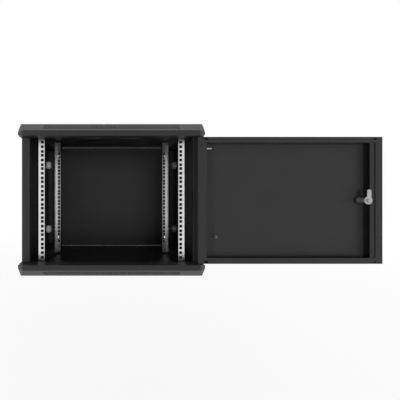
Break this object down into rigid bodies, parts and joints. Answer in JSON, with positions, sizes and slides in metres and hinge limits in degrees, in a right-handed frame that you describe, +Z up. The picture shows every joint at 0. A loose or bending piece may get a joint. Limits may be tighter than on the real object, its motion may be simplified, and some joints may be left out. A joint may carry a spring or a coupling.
{
  "type": "wall mount network cabinet",
  "caption": "Black sheet-steel wall cabinet with sloped vented bezels, bright square-hole rack rails and a hinged door standing open.",
  "frame": {"origin": "middle of the four wall bolt holes, on the flat back plane", "axes": "+X to the right for someone facing the cabinet, +Y into the wall, +Z up"},
  "size_m": [1.153, 0.4553, 0.502],
  "materials": {
    "black_powder_coat": "fine textured powder coat, semi-matt",
    "zinc_plate": "bright zinc plate",
    "lock_nickel": "nickel-plated die casting",
    "black_screw": "black zinc"
  },
  "bodies": {
    "cabinet": {"top_cover": "black_powder_coat", "bottom_cover": "black_powder_coat", "cable_plate_top": "black_powder_coat", "cable_plate_bottom": "black_powder_coat", "rear_panel": "black_powder_coat", "front_pillar_left": "black_powder_coat", "front_pillar_right": "black_powder_coat", "rear_pillar_left": "black_powder_coat", "rear_pillar_right": "black_powder_coat", "depth_member_top_left": "black_powder_coat", "depth_member_top_right": "black_powder_coat", "depth_member_bottom_left": "black_powder_coat", "depth_member_bottom_right": "black_powder_coat", "rack_rail_front_left": "zinc_plate", "rack_rail_front_right": "zinc_plate", "rack_rail_rear_left": "zinc_plate", "rack_rail_rear_right": "zinc_plate", "rail_bolts": "zinc_plate", "rail_nuts": "zinc_plate", "hinge_pin_bottom": "zinc_plate", "cabinet_earth_stud": "zinc_plate", "frame_screws": "black_screw", "cable_plate_screws": "black_screw"},
    "door": {"door_panel": "black_powder_coat", "hinge_bracket": "black_powder_coat", "lock_housing": "lock_nickel", "lock_nut": "black_screw", "door_earth_stud": "zinc_plate", "hinge_spring": "zinc_plate"},
    "door_lock": {"lock_plug": "lock_nickel", "lock_cam": "zinc_plate", "lock_screw": "zinc_plate"},
    "sprung_hinge_pin": {"hinge_pin_top": "zinc_plate"},
    "side_panel_right": {"side_panel_right": "black_powder_coat", "latch_upper_right_housing": "lock_nickel", "latch_upper_right_nut": "zinc_plate", "latch_lower_right_housing": "lock_nickel", "latch_lower_right_nut": "zinc_plate"},
    "side_panel_left": {"side_panel_left": "black_powder_coat", "latch_upper_left_housing": "lock_nickel", "latch_upper_left_nut": "zinc_plate", "latch_lower_left_housing": "lock_nickel", "latch_lower_left_nut": "zinc_plate"},
    "latch_upper_right": {"latch_upper_right_plug": "lock_nickel", "latch_upper_right_cam": "zinc_plate", "latch_upper_right_screw": "zinc_plate"},
    "latch_lower_right": {"latch_lower_right_plug": "lock_nickel", "latch_lower_right_cam": "zinc_plate", "latch_lower_right_screw": "zinc_plate"},
    "latch_upper_left": {"latch_upper_left_plug": "lock_nickel", "latch_upper_left_cam": "zinc_plate", "latch_upper_left_screw": "zinc_plate"},
    "latch_lower_left": {"latch_lower_left_plug": "lock_nickel", "latch_lower_left_cam": "zinc_plate", "latch_lower_left_screw": "zinc_plate"}
  },
  "joints": [
    {"name": "door_swing", "type": "hinge", "parent": "cabinet", "child": "door", "pos_m": [0.2815, -0.43, 0], "axis": [0, 0, 1], "range_deg": [-180, 0]},
    {"name": "door_lock_turn", "type": "hinge", "parent": "door", "child": "door_lock", "pos_m": [0.8, -0.43, 0], "axis": [0, 1, 0], "range_deg": [0, 90]},
    {"name": "hinge_pin_pull", "type": "slide", "parent": "door", "child": "sprung_hinge_pin", "axis": [0, 0, -1], "range_m": [0, 0.012], "stiffness_N_per_m": 500, "springref_m": -0.006, "deforming": ["hinge_spring"]},
    {"name": "side_panel_right_off", "type": "slide", "parent": "cabinet", "child": "side_panel_right", "axis": [1, 0, 0], "range_m": [0, 0.15]},
    {"name": "latch_upper_right_turn", "type": "hinge", "parent": "side_panel_right", "child": "latch_upper_right", "pos_m": [0.294, -0.092, 0.145], "axis": [1, 0, 0], "range_deg": [0, 90]},
    {"name": "latch_lower_right_turn", "type": "hinge", "parent": "side_panel_right", "child": "latch_lower_right", "pos_m": [0.294, -0.092, -0.145], "axis": [1, 0, 0], "range_deg": [0, 90]},
    {"name": "side_panel_left_off", "type": "slide", "parent": "cabinet", "child": "side_panel_left", "axis": [-1, 0, 0], "range_m": [0, 0.15]},
    {"name": "latch_upper_left_turn", "type": "hinge", "parent": "side_panel_left", "child": "latch_upper_left", "pos_m": [-0.294, -0.092, 0.145], "axis": [1, 0, 0], "range_deg": [0, 90]},
    {"name": "latch_lower_left_turn", "type": "hinge", "parent": "side_panel_left", "child": "latch_lower_left", "pos_m": [-0.294, -0.092, -0.145], "axis": [1, 0, 0], "range_deg": [0, 90]}
  ]
}
